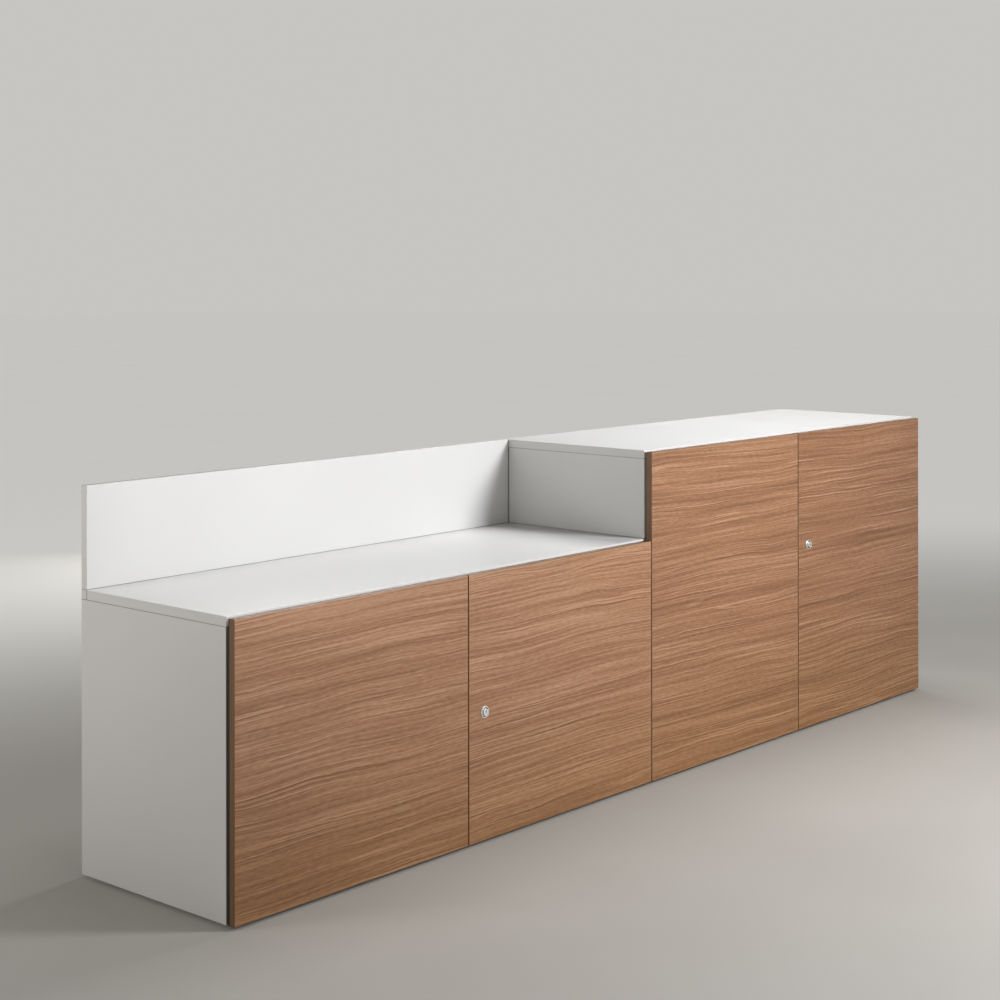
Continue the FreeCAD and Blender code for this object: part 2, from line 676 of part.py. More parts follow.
def lock_driver():
    start = LOCK_TAIL + PLUG_GAP
    half = PLUG_SQUARE / 2 + FIT
    disc = bar(PIN_ORBIT + DRIVER_PIN_R + DRIVER_RIM, Z * start, Z, DRIVER)
    hole = block((-half, -half, start), (half, half, start + DRIVER))
    back = start + DRIVER
    pins = [bar(DRIVER_PIN_R, V(side * PIN_OUT, -side * PIN_RISE, back), Z, DRIVER_PIN) for side in (-1, 1)]
    return disc.cut(hole).fuse(pins)


def rod_stem(start, tip):
    """Round rod along Z with a coned tip."""
    return turned([(0, start), (ROD_R, start), (ROD_R, tip - ROD_TIP), (ROD_R - ROD_TIP, tip), (0, tip)])


def lock_rod(length):
    """Upper rod: a tongue to the left of the lock, slotted for the driver's pin, and a round stem above."""
    slot_r = DRIVER_PIN_R + SLOT_FIT
    rim = slot_r + TONGUE_RIM
    low = -PIN_RISE - rim
    left = -PIN_ORBIT - rim
    top = TONGUE_RISE + 2 * ROD_R
    shoulder = TONGUE_RISE - ROD_R
    plate = outline([(left, low, TONGUE_ROUND), (-TONGUE_GAP, low, TONGUE_ROUND),
                     (-TONGUE_GAP, shoulder, TONGUE_ROUND), (ROD_R, TONGUE_RISE, TONGUE_ROUND),
                     (ROD_R, top, TONGUE_ROUND), (-ROD_R, top, TONGUE_ROUND),
                     (left, shoulder, TONGUE_ROUND)])
    slot = pill((PIN_ORBIT - PIN_OUT) / 2 + slot_r, slot_r)
    slot.translate(V(-(PIN_ORBIT + PIN_OUT) / 2, -PIN_RISE, 0))
    tongue = plate.cut(slot).extrude(Z * TONGUE)
    tongue = seat(tongue, Y * (ROD_OFFSET + TONGUE / 2), -Y, X)
    stem = rod_stem(TONGUE_RISE, length)
    stem.translate(Y * ROD_OFFSET)
    return stem.fuse(tongue)


def guide(height):
    """Saddle on the door's back that a rod slides through, drawn upwards from Z = 0."""
    cheek = ROD_R + GUIDE_WALL
    crown = ROD_OFFSET + cheek
    saddle = outline([(-GUIDE_FOOT, 0, 0), (GUIDE_FOOT, 0, 0), (GUIDE_FOOT, GUIDE_WALL, GUIDE_ROUND),
                      (cheek, GUIDE_WALL, GUIDE_FILLET), (cheek, crown, cheek), (-cheek, crown, cheek),
                      (-cheek, GUIDE_WALL, GUIDE_FILLET), (-GUIDE_FOOT, GUIDE_WALL, GUIDE_ROUND)])
    return saddle.extrude(Z * height).cut(bar(ROD_R + GUIDE_FIT, Y * ROD_OFFSET, Z, height))


def rod_guides(door):
    levels = (door.lock_z + GUIDE_INSET, door.top_tip - GUIDE_INSET,
              door.lock_z - GUIDE_INSET - GUIDE_HEIGHT, door.foot_tip + GUIDE_INSET - GUIDE_HEIGHT)
    saddle = guide(GUIDE_HEIGHT)
    return [seat(saddle, V(door.rod_x, Y_DOOR_BACK, z), Z, X) for z in levels]


# Surface bolt on the back of a door without a lock

def bolt_knob_level(door):
    return door.top_tip - BOLT_NOSE - BOLT_CASE / 2 - ROD_TRAVEL / 2


def bolt_case(door):
    foot = door.top_tip - BOLT_NOSE - BOLT_CASE
    knob = bolt_knob_level(door) - foot
    edge = KNOB_R + KNOB_FIT
    outside = ROD_OFFSET + 2 * KNOB_REACH
    window = block((-edge, ROD_OFFSET, knob - edge), (edge, outside, knob + ROD_TRAVEL + edge))
    case = guide(BOLT_CASE).cut(window)
    return seat(case, V(door.rod_x, Y_DOOR_BACK, foot), Z, X)


def surface_bolt(door):
    stem = rod_stem(door.top_tip - BOLT_LENGTH, door.top_tip)
    knob = bar(KNOB_R, Z * bolt_knob_level(door), Y, KNOB_REACH)
    return seat(stem.fuse(knob), V(door.rod_x, Y_ROD, 0), Z, X)


# Every node and the solids that it holds

def carcass_nodes():
    nodes = {}
    for unit in UNITS:
        nodes[f"{unit.name}_left_side"] = [side_board(unit, "left")]
        nodes[f"{unit.name}_right_side"] = [side_board(unit, "right")]
        nodes[f"{unit.name}_bottom"] = [bottom_board(unit)]
        nodes[f"{unit.name}_top"] = [top_board(unit)]
        nodes[f"{unit.name}_back"] = [back_panel(unit)]
        nodes[f"{unit.name}_shelf"] = [shelf(unit)]
    nodes["rear_screen"] = [rear_screen()]
    return nodes


def fitting_nodes():
    ends = [(unit, side) for unit in UNITS for side in ("left", "right")]
    cams = [place for end in ends for group in cam_seats(*end) for place in group]
    keepers = [place for unit in UNITS for group in keeper_seats(unit) for place in group]
    feet = [place for unit in UNITS for place in foot_seats(unit)]
    pins = [place for end in ends for place in shelf_pin_seats(*end)]
    return {
        "cam_discs": fittings(cam_disc(), cams),
        "cam_bolts": fittings(cam_bolt(), cams),
        "wood_dowels": fittings(dowel(), dowel_seats(cams)),
        "screen_screws": fittings(screen_screw(), screw_seats()),
        "module_connectors": fittings(link_sleeve(), link_seats()) + fittings(link_screw(), link_seats()),
        "shelf_pins": fittings(shelf_pin(), pins),
        "leveller_feet": fittings(leveller_foot(), feet),
        "leveller_inserts": fittings(leveller_insert(), feet),
        "rod_keepers": fittings(keeper(), keepers),
        "door_bumpers": fittings(bumper(), bumper_seats()),
        "hinge_plates": fittings(hinge_plate(), hinge_seats(DOORS)),
        "hinge_arms": fittings(hinge_arm(), hinge_seats(DOORS)),
    }


def door_nodes(door):
    nodes = {
        f"{door.name}_panel": [door_panel(door)],
        f"{door.name}_edge_band": [door_edge_band(door)],
        f"{door.name}_hinge_cups": fittings(hinge_cup(), hinge_seats([door])),
        f"{door.name}_hinge_pins": fittings(hinge_pin(), hinge_seats([door])),
    }
    axis = V(door.rod_x, Y_DOOR_BACK, door.lock_z)
    if door.locks:
        nodes[f"{door.name}_lock_barrel"] = [seat(lock_barrel(), axis, Y, X)]
        nodes[f"{door.name}_lock_nut"] = [seat(lock_nut(), axis, Y, X)]
        nodes[f"{door.name}_lock_plug"] = [seat(lock_plug(), axis, Y, X)]
        nodes[f"{door.name}_lock_driver"] = [seat(lock_driver(), axis, Y, X)]
        nodes[f"{door.name}_upper_rod"] = [seat(lock_rod(door.top_tip - door.lock_z), axis, Z, X)]
        nodes[f"{door.name}_lower_rod"] = [seat(lock_rod(door.lock_z - door.foot_tip), axis, -Z, -X)]
        nodes[f"{door.name}_rod_guides"] = rod_guides(door)
    else:
        nodes[f"{door.name}_bolt_case"] = [bolt_case(door)]
        nodes[f"{door.name}_bolt"] = [surface_bolt(door)]
    return nodes


def save(name, shapes):
    solids = [solid for shape in shapes for solid in shape.Solids]
    body = solids[0] if len(solids) == 1 else Part.makeCompound(solids)
    body.exportStep(f"parts/{name}.step")
    print(f"{name}: {len(solids)} solids, {body.Volume / 1000:.1f} cm3")


os.makedirs("parts", exist_ok=True)
for name, shapes in {**carcass_nodes(), **fitting_nodes()}.items():
    save(name, shapes)
for door in DOORS:
    for name, shapes in door_nodes(door).items():
        save(name, shapes)
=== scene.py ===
# %% [markdown]
# # A two-part office sideboard
# A low white unit with a screen along its back is joined to a taller unit, and four wood-grained doors close
# them. The solids come ready-made at their real size, so this lesson dresses them: it gives every board and
# fitting its finish, adds the raised faces of the locks and the small screws, and sets the camera and the light.
# Everything is in metres, with X along the front, Y from the doors to the back and Z up from the floor.

# %% Load the solids
import json
import math
import bmesh
import bpy
from mathutils import Matrix, Vector


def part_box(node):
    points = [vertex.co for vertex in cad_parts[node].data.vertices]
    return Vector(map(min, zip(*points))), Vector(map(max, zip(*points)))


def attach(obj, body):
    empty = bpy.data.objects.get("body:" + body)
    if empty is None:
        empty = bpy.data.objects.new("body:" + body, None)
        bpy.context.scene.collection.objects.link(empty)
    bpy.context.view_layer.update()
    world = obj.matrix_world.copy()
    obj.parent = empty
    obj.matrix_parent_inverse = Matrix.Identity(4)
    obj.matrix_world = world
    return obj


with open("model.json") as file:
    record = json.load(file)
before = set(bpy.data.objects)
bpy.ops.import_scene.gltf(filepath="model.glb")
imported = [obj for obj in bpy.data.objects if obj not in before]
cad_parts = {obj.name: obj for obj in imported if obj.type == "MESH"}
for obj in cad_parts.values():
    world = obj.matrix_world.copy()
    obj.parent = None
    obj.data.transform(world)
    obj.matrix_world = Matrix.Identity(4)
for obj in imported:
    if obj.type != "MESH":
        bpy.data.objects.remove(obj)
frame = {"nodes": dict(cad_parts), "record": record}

scene = bpy.context.scene
nodes = frame["nodes"]
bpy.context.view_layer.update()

# %% [markdown]
# ## The camera
# The picture looks along the front from the left, and its upright edges stay upright. A camera that is tilted
# down would make them lean, so this one stays level and its lens is shifted down instead, as on a view camera.
# The lens is long, because the far door is hardly smaller than the near one. Place, heading, lens and a very
# slight roll were fitted together to the sideboard's straight edges.

# %% Set the camera
IMAGE_SIDE = 1000
FOCAL_PIXELS = 1859.5
HORIZON_PIXEL = 264.2
SENSOR = 36.0
CAMERA_PLACE = Vector((-3.2992, -2.6645, 1.1459))
CAMERA_LEVEL = math.pi / 2
CAMERA_ROLL = math.radians(0.069)
CAMERA_TURN = math.radians(-48.765)

lens = bpy.data.cameras.new("camera")
lens.sensor_width = SENSOR
lens.lens = SENSOR * FOCAL_PIXELS / IMAGE_SIDE
lens.shift_y = HORIZON_PIXEL / IMAGE_SIDE - 0.5
camera = bpy.data.objects.new("camera", lens)
camera.location = CAMERA_PLACE
camera.rotation_euler = (CAMERA_LEVEL, CAMERA_ROLL, CAMERA_TURN)
scene.collection.objects.link(camera)
scene.camera = camera
print("lens", round(lens.lens, 2), "mm, shift", round(lens.shift_y, 4))

# %% [markdown]
# ## Shader maths in Python
# A finish is a small program of texture nodes. Wiring each node by hand is slow to read, so one class wraps a
# socket: adding or multiplying two wires adds the Math node for it, and one method adds any other kind of node.

# %% A socket that Python can calculate with


class Wire:
    """An output socket. Operators on it add Math nodes, and `add` adds any other node."""

    def __init__(self, tree, socket):
        self.tree = tree
        self.socket = socket

    def add(self, kind, settings, inputs, out=0):
        """A new node: its settings first, then the values or wires of its input sockets."""
        node = self.tree.nodes.new(kind)
        for name, value in settings.items():
            if name == "stops":
                for place, colour in value[2:]:
                    node.color_ramp.elements.new(place)
                for stop, (place, colour) in zip(node.color_ramp.elements, value):
                    stop.position = place
                    stop.color = colour
            else:
                setattr(node, name, value)
        for name, value in inputs.items():
            if isinstance(value, Wire):
                self.tree.links.new(value.socket, node.inputs[name])
            else:
                node.inputs[name].default_value = value
        return Wire(self.tree, node.outputs[out])

    def maths(self, operation, first, second=0.0):
        return self.add("ShaderNodeMath", {"operation": operation}, {0: first, 1: second})

    def __add__(self, other):
        return self.maths("ADD", self, other)

    def __sub__(self, other):
        return self.maths("SUBTRACT", self, other)

    def __rsub__(self, other):
        return self.maths("SUBTRACT", other, self)

    def __mul__(self, other):
        return self.maths("MULTIPLY", self, other)

    __radd__ = __add__
    __rmul__ = __mul__

    def step(self, low, high):
        """0 below `low`, 1 above `high` and a smooth rise between them."""
        return self.add("ShaderNodeMapRange", {"interpolation_type": "SMOOTHSTEP"},
                        {"Value": self, "From Min": low, "From Max": high})

    def ramp(self, stops):
        return self.add("ShaderNodeValToRGB", {"stops": stops}, {"Fac": self})

    def stretch(self, scale, shift=(0.0, 0.0, 0.0)):
        """The same coordinates, multiplied and then moved."""
        return self.add("ShaderNodeVectorMath", {"operation": "MULTIPLY_ADD"}, {0: self, 1: scale, 2: shift})

    def noise(self, detail=1.0, roughness=0.5):
        return self.add("ShaderNodeTexNoise", {"noise_dimensions": "3D"},
                        {"Vector": self, "Scale": 1.0, "Detail": detail, "Roughness": roughness})

    def parts(self):
        """X, Y and Z of coordinates, each as its own wire."""
        split = self.add("ShaderNodeSeparateXYZ", {}, {"Vector": self})
        return [Wire(self.tree, socket) for socket in split.socket.node.outputs]

    def join(self, x, y, z):
        return self.add("ShaderNodeCombineXYZ", {}, {"X": x, "Y": y, "Z": z})


# %% [markdown]
# Every finish starts and ends in the same way. It starts with a new material, its shader and the coordinates of the
# piece itself, so that a pattern stays put when a door swings. It ends with wires that go to the shader's sockets.

# %% Helpers for every finish


def shade(linear):
    """A colour as the four numbers that a colour socket takes."""
    return (*linear, 1.0)


def even(scale):
    """The same scale along all three axes."""
    return (scale, scale, scale)


def new_finish(name):
    """A material, its shader and the object's own coordinates."""
    material = bpy.data.materials.new(name)
    material.use_nodes = True
    tree = material.node_tree
    place = tree.nodes.new("ShaderNodeTexCoord").outputs["Object"]
    return material, tree.nodes["Principled BSDF"], Wire(tree, place)


def plug(shader, **wires):
    """Links wires to the shader's sockets: base_color goes to Base Color, and so on."""
    for name, wire in wires.items():
        wire.tree.links.new(wire.socket, shader.inputs[name.replace("_", " ").title()])


def bump(height, distance):
    return height.add("ShaderNodeBump", {}, {"Height": height, "Distance": distance, "Strength": 1.0})


def mix(factor, first, second, blend="MIX"):
    return factor.add("ShaderNodeMix", {"data_type": "RGBA", "blend_type": blend},
                      {0: factor, 6: first, 7: second}, 2)


# %% [markdown]
# ## The light
# A small soft lamp stands in front and to the right, little higher than the sideboard. It lights the doors and the
# screen full on, and the tall unit's shadow falls to the left across the low top and climbs the screen. A larger
# one hangs over the tall unit for the tops. A weak one on the left, behind the line of the screen, keeps the end
# panel light grey, while the screen shades the inner corner from it. A thin one, close over the low unit's front
# edge, brightens the near end of its top and the upper part of the first door, and a low one behind the sideboard
# lights its back. The standard view transform keeps the tones as they are.

# %% Set the lamps
NEUTRAL = (1.0, 1.0, 1.0)
COOL = (0.99, 1.0, 1.04)
WARM = (1.0, 0.97, 0.92)
LAMPS = {
    "key_lamp": ((0.50, -2.00, 1.40), (-0.1, 0.0, 0.5), (0.45, 0.45), 48.6, COOL),
    "overhead_lamp": ((1.1, 0.1, 2.4), (0.0, 0.0, 0.5), (1.2, 1.0), 39.2, NEUTRAL),
    "edge_lamp": ((-1.1, -0.45, 1.0), (-1.0, -0.2, 0.5), (0.5, 0.15), 1.9, NEUTRAL),
    "left_lamp": ((-2.6, 0.7, 1.0), (-0.9, 0.0, 0.5), (0.6, 0.6), 10.1, WARM),
    "back_lamp": ((1.9, 2.9, 0.60), (-0.2, 0.2, 0.45), (2.0, 0.5), 13.0, NEUTRAL),
}


def soft_lamp(name, place, target, size, power, tint):
    """Oblong area lamp at a place, turned to face a target."""
    lamp = bpy.data.lights.new(name, "AREA")
    lamp.shape = "RECTANGLE"
    lamp.size = size[0]
    lamp.size_y = size[1]
    lamp.energy = power
    lamp.color = tint
    holder = bpy.data.objects.new(name, lamp)
    holder.location = place
    holder.rotation_euler = (Vector(target) - Vector(place)).to_track_quat("-Z", "Y").to_euler()
    holder.visible_camera = False
    scene.collection.objects.link(holder)


scene.view_settings.view_transform = "Standard"
for name, settings in LAMPS.items():
    soft_lamp(name, *settings)
print(len(LAMPS), "lamps")

# %% [markdown]
# The sky fills the shadows. An even sky would flatten the tops, so this one is pale only in a belt over the horizon,
# nearly black overhead and dim below. It is a ramp over the height of the ray, lifted a little so that the ramp,
# which starts at nought, also reaches below the horizon.

# %% Set the sky
SKY_LIFT = 0.1
SKY_BELOW = (0.30, 0.29, 0.27)
SKY_BELT = (0.57, 0.56, 0.54)
SKY_ZENITH = (0.05, 0.05, 0.05)
SKY_STOPS = [(0.04, shade(SKY_BELOW)), (0.05, shade(SKY_BELT)), (0.25, shade(SKY_BELT)), (0.42, shade(SKY_ZENITH))]

world = bpy.data.worlds.new("sky")
world.use_nodes = True
backdrop = world.node_tree.nodes["Background"]
backdrop.inputs["Strength"].default_value = 1.0
heading = Wire(world.node_tree, world.node_tree.nodes.new("ShaderNodeTexCoord").outputs["Generated"])
plug(backdrop, color=(heading.parts()[2] + SKY_LIFT).ramp(SKY_STOPS))
scene.world = world
print("a sky of", len(SKY_STOPS), "tones")

# %% [markdown]
# ## The floor
# A wide pale disc carries the sideboard and its soft shadow. It is not part of the object. Far from the sideboard
# it glows a little, like the lit cove of a studio, so that floor and sky meet without a dark line. A curved
# backdrop would do the same from one side only, and the sideboard is looked at from all sides.

# %% Lay the floor
FLOOR_REACH = 40.0
FLOOR_SIDES = 96
FLOOR_TONES = ((0.32, 0.305, 0.275), (0.35, 0.335, 0.305))
FLOOR_DRIFT = 1.5
FLOOR_ROUGH = (0.7, 0.8)
NEAR_GLOW = (0.030, 0.028, 0.025)
FAR_GLOW = (0.52, 0.51, 0.49)
GLOW_FROM, GLOW_FULL = 0.6, 3.2
GLOW_NARROWING = 0.4


def between(wire, ends):
    """A wire from 0 to 1, spread over two values."""
    return wire * (ends[1] - ends[0]) + ends[0]


def two_tones(wire, tones, first=0.3, last=0.7):
    return wire.ramp([(first, shade(tones[0])), (last, shade(tones[1]))])


def floor_finish():
    material, shader, place = new_finish("floor_paint")
    drift = place.stretch(even(FLOOR_DRIFT)).noise(3.0)
    x, y, z = place.parts()
    distance = x.maths("SQRT", x * x * GLOW_NARROWING + y * y)
    glow = two_tones(distance.step(GLOW_FROM, GLOW_FULL), (NEAR_GLOW, FAR_GLOW), 0.0, 1.0)
    shader.inputs["Emission Strength"].default_value = 1.0
    plug(shader, base_color=two_tones(drift, FLOOR_TONES), roughness=between(drift, FLOOR_ROUGH), emission_color=glow)
    return material


def new_piece(name, shape, material):
    """Turns a finished bmesh into an object of the scene."""
    mesh = bpy.data.meshes.new(name)
    shape.to_mesh(mesh)
    shape.free()
    mesh.materials.append(material)
    piece = bpy.data.objects.new(name, mesh)
    scene.collection.objects.link(piece)
    return piece


shape = bmesh.new()
bmesh.ops.create_circle(shape, cap_ends=True, segments=FLOOR_SIDES, radius=FLOOR_REACH)
floor = new_piece("floor", shape, floor_finish())
print("a floor of", FLOOR_REACH, "m radius")

# %% [markdown]
# ## White melamine
# The boards are chipboard with a white melamine face, pressed with a very fine pearl. Seen from a step away it
# is an even white, so the finish is mostly in its gloss: a fine bump breaks the reflections, and slow patches
# shift the roughness. Each board's cut sides carry a thin edge band, which shows on the faces as a fine line one
# band's thickness from the edge, so every board gets its own copy with its own box.

# %% Edge-band lines of the boards
BAND = 0.001
SEAM_WIDTH = 0.00025
WHITE_BOARDS = [f"{unit}_{part}" for unit in ("low", "tall")
                for part in ("left_side", "right_side", "bottom", "top", "back", "shelf")] + ["rear_screen"]


def near_line(along, at, inner, outer):
    """1 closer than `inner` to a place on one axis, 0 further than `outer` from it."""
    off = along.maths("ABSOLUTE", along - at)
    return 1.0 - off.step(inner, outer)


def at_most_one(wire):
    return wire.maths("MINIMUM", wire, 1.0)


def near_seam(place, low, high):
    """1 on the line where a board's edge band meets its faces, and 0 elsewhere."""
    flat = min(range(3), key=lambda axis: high[axis] - low[axis])
    line = 0.0
    for axis, along in enumerate(place.parts()):
        if axis != flat:
            line = near_line(along, low[axis] + BAND, 0.0, SEAM_WIDTH) + line
            line = near_line(along, high[axis] - BAND, 0.0, SEAM_WIDTH) + line
    return at_most_one(line)


print(len(WHITE_BOARDS), "boards with edge bands")

# %% [markdown]
# Where two boards meet, their eased edges leave a groove, and the shade in it is painted as a dark line: under the
# tops, along the foot of the screen, and widest in the corner between the screen and the tall unit. The front edges of
# the sides, which the doors cover, also get painted shade for the shadowed gap behind the doors, apart from the tall
# unit's left side, whose upper part stands free. These lines are measured from the boards' boxes: each has the axis it
# lies across, its place on that axis and half its width.

# %% Painted shade lines
FINE = 0.0012
WIDE = 0.0030
LOW_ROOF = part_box("low_top")[1].z
LOW_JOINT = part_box("low_top")[0].z
TALL_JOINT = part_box("tall_top")[0].z
TALL_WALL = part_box("tall_left_side")[0].x
SCREEN_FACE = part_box("rear_screen")[0].y
SIDE_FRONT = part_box("low_left_side")[0].y
PAINTED_SHADE_LINES = {
    "low_left_side": [(2, LOW_JOINT, FINE), (1, SIDE_FRONT, FINE)],
    "low_right_side": [(2, LOW_JOINT, FINE), (1, SIDE_FRONT, FINE)],
    "tall_left_side": [(2, TALL_JOINT, FINE), (1, SCREEN_FACE, WIDE), (2, LOW_ROOF, FINE)],
    "tall_right_side": [(2, TALL_JOINT, FINE), (1, SIDE_FRONT, FINE)],
    "low_top": [(1, SCREEN_FACE, FINE), (0, TALL_WALL, FINE)],
    "rear_screen": [(2, LOW_ROOF, FINE), (0, TALL_WALL, WIDE)],
}


def near_painted_shade(place, lines):
    """1 where shade is painted in a joint's groove or on a side's front edge, and 0 away from it. The painted shade is
    darkest in the inner third of its width.
    """
    axes = place.parts()
    dark = 0.0
    for axis, at, width in lines:
        dark = near_line(axes[axis], at, width / 3, width) + dark
    return at_most_one(dark)


print(sum(len(lines) for lines in PAINTED_SHADE_LINES.values()), "joint lines")

# %% [markdown]
# Now the white itself. The edge-band lines and the painted shade lines are mixed in at less than their full strength,
# because on the real boards they are faint: white bands on white faces, and grooves that still catch some light.

# %% White boards
WHITE_TONES = ((0.665, 0.660, 0.644), (0.685, 0.680, 0.664))
SEAM = (0.56, 0.555, 0.54)
SEAM_STRENGTH = 0.5
# painted shade: the dark of the joint grooves and of the gaps behind the doors
PAINTED_SHADE = (0.075, 0.066, 0.055)
PAINTED_SHADE_STRENGTH = 0.8
PATCH = 3.0
PATCH_ROUGH = 0.10
PEARL = 900.0
PEARL_ROUGH = 0.06
PEARL_DEPTH = 0.00003
WHITE_ROUGH = 0.36


def white_finish(node):
    material, shader, place = new_finish(f"white_{node}")
    patch = place.stretch(even(PATCH)).noise()
    pearl = place.stretch(even(PEARL)).noise(1.0, 0.6)
    colour = two_tones(patch, WHITE_TONES)
    colour = mix(near_seam(place, *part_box(node)) * SEAM_STRENGTH, colour, shade(SEAM))
    # painted shade along the joints and on the sides' front edges behind the doors
    if node in PAINTED_SHADE_LINES:
        colour = mix(near_painted_shade(place, PAINTED_SHADE_LINES[node]) * PAINTED_SHADE_STRENGTH, colour, shade(PAINTED_SHADE))
    rough = patch * PATCH_ROUGH + pearl * PEARL_ROUGH + WHITE_ROUGH
    plug(shader, base_color=colour, roughness=rough, normal=bump(pearl, PEARL_DEPTH))
    return material


def dress(node, material):
    nodes[node].data.materials.clear()
    nodes[node].data.materials.append(material)


for board in WHITE_BOARDS:
    dress(board, white_finish(board))
print(len(WHITE_BOARDS), "white boards")

# %% [markdown]
# ## Wood decor
# The doors carry a straight-grained wood with its grain along the width. Growth rings, cut lengthwise, are long
# nearly level lines that drift together and apart. A picture of wood would repeat from door to door, so the figure is
# calculated. The height on the door is first bent by three noises, a slow, a middling and a quick one. Everything else
# is drawn on that bent height as noise that is stretched along the width: broad bands, rings, fine lines, and pores as
# short dashes.

# %% Grain of the wood
BENDS = ((1.2, 2.4, 0.050), (4.0, 9.0, 0.018), (16.0, 40.0, 0.0030))
BANDS = (0.25, 14.0, 0.8, 0.0)
RINGS = (0.9, 55.0, 0.9, 60.0)
LINES = (2.4, 220.0, 0.7, 0.0)
PORES = (60.0, 420.0, 0.5, 0.0)
FIGURE_WEIGHTS = (0.27, 0.38, 1.00, 0.50)


def streaks(x, y, height, along, up, rough=0.5, shift=0.0):
    """Noise with its own scale along the width and up the door."""
    return x.join(x * along + shift, y, height * up).noise(1.0, rough)


def bent_height(x, y, z):
    """The height, moved up and down by each of the bends."""
    level = z
    for along, up, reach in BENDS:
        level = level + (streaks(x, y, z, along, up) - 0.5) * reach
    return level


print("grain of", len(BENDS), "bends and", len(FIGURE_WEIGHTS), "figures")

# %% [markdown]
# Thin pale lines run through the grain in groups. They follow one more noise where it passes its middle value, as a
# contour line does on a map, and each has a dark line just under it, drawn from the same noise, moved down a little.
# A second noise makes some parts of the door busy with them and leaves others quiet.

# %% Pale and dark lines
CONTOUR = (1.1, 75.0)
CONTOUR_SHIFT = 40.0
CONTOUR_STEP = 0.14
PALE_WIDTH = 0.05
DARK_WIDTH = 0.07
BUSY = (3.0, 26.0, 0.5, 20.0)
BUSY_FROM, BUSY_FULL = 0.40, 0.62
QUIET = 0.2


def contour_lines(x, y, level):
    """The pale lines and the dark lines beside them."""
    along, up = CONTOUR
    growth = streaks(x, y, level, along, up, shift=CONTOUR_SHIFT)
    under = x.join(x * along + CONTOUR_SHIFT, y, level * up + CONTOUR_STEP).noise()
    share = between(streaks(x, y, level, *BUSY).step(BUSY_FROM, BUSY_FULL), (QUIET, 1.0))
    return near_line(growth, 0.5, 0.0, PALE_WIDTH) * share, near_line(under, 0.5, 0.0, DARK_WIDTH) * share


print("pale lines", PALE_WIDTH, "and dark lines", DARK_WIDTH, "of the noise wide")

# %% [markdown]
# All of it adds up to one tone, which picks a colour between dark, middle and pale wood. Each door is cut from its own
# stretch of wood and has its own tone. Light is painted on as well: the tone drifts with the height, lighter towards
# the top of the first two doors and darker there on the last one, as the light falls, and towards its foot a door is
# painted a little warmer, for the warm light that the floor throws up.

# %% Wood doors
DOORS = (1, 2, 3, 4)
DOOR_SHIFT = Vector((7.3, 0.0, 3.1))
DOOR_TONE = {1: 0.05, 2: 0.07, 3: -0.02, 4: -0.06}
PAINTED_LIGHT_FADE = {1: 0.34, 2: 0.32, 3: 0.04, 4: -0.08}
WOOD_DARK = (0.165, 0.071, 0.028)
WOOD_MID = (0.276, 0.130, 0.060)
WOOD_PALE = (0.435, 0.245, 0.140)
WOOD_STOPS = [(0.15, shade(WOOD_DARK)), (0.5, shade(WOOD_MID)), (0.95, shade(WOOD_PALE))]
FLOOR_BOUNCE_TINT = (1.0, 1.0, 0.86)
PALE_WEIGHT = 0.42
DARK_WEIGHT = 0.22
WOOD_ROUGH = 0.46
PALE_GLOSS = 0.05
PORE_GLOSS = 0.08
LINE_RELIEF = 0.5
WOOD_DEPTH = 0.00005


def wood_finish(number):
    material, shader, place = new_finish(f"door_{number}_wood")
    low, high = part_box(f"door_{number}_panel")
    middle = (low.z + high.z) / 2
    up_door = place.parts()[2]
    x, y, z = place.stretch(even(1.0), DOOR_SHIFT * number).parts()
    level = bent_height(x, y, z)
    figures = [streaks(x, y, level, *figure) for figure in (BANDS, RINGS, LINES, PORES)]
    bands, rings, lines, pores = figures
    pale, dark = contour_lines(x, y, level)
    # painted light: lighter towards the top of the first two doors, darker towards the top of the last
    tone = (up_door - middle) * PAINTED_LIGHT_FADE[number] + DOOR_TONE[number] + 0.5
    for figure, weight in zip(figures, FIGURE_WEIGHTS):
        tone = tone + (figure - 0.5) * weight
    colour = (tone + pale * PALE_WEIGHT - dark * DARK_WEIGHT).ramp(WOOD_STOPS)
    # painted light: the warm light from the floor, painted on towards the foot of the door
    foot = 1.0 - up_door.step(low.z, middle)
    colour = mix(foot, colour, shade(FLOOR_BOUNCE_TINT), "MULTIPLY")
    rough = WOOD_ROUGH - pale * PALE_GLOSS - pores * PORE_GLOSS
    plug(shader, base_color=colour, roughness=rough, normal=bump(lines * LINE_RELIEF + pores, WOOD_DEPTH))
    return material


for number in DOORS:
    dress(f"door_{number}_panel", wood_finish(number))
print(len(DOORS), "wood doors")

# %% [markdown]
# ## Edge bands of the doors
# The doors' narrow sides have a darker brown band with a rounded edge, smooth enough to mirror the white boards behind
# it. Its faint figure runs round the door, so it is noise stretched along both the width and the height. Down the
# sides, along the back of the door beside the gap to the carcass, the shade of that gap is painted on the band as a
# nearly black strip, most broadly on the first door. Along the top no shade is painted, and the band stays brown.

# %% Brown bands
BROWN_TONES = ((0.160, 0.080, 0.035), (0.205, 0.104, 0.048))
BROWN_FIGURE = (6.0, 900.0, 6.0)
BROWN_ROUGH = (0.22, 0.30)
# painted shade of the gap between door and carcass
BAND_BACK_SHADE = (0.030, 0.020, 0.013)
BACK_SHADE_DEPTH = {1: 0.005, 2: 0.002, 3: 0.002, 4: 0.002}
BACK_SHADE_SOFT = 0.002
TOP_CLEAR = 0.004
TOP_SOFT = 0.002


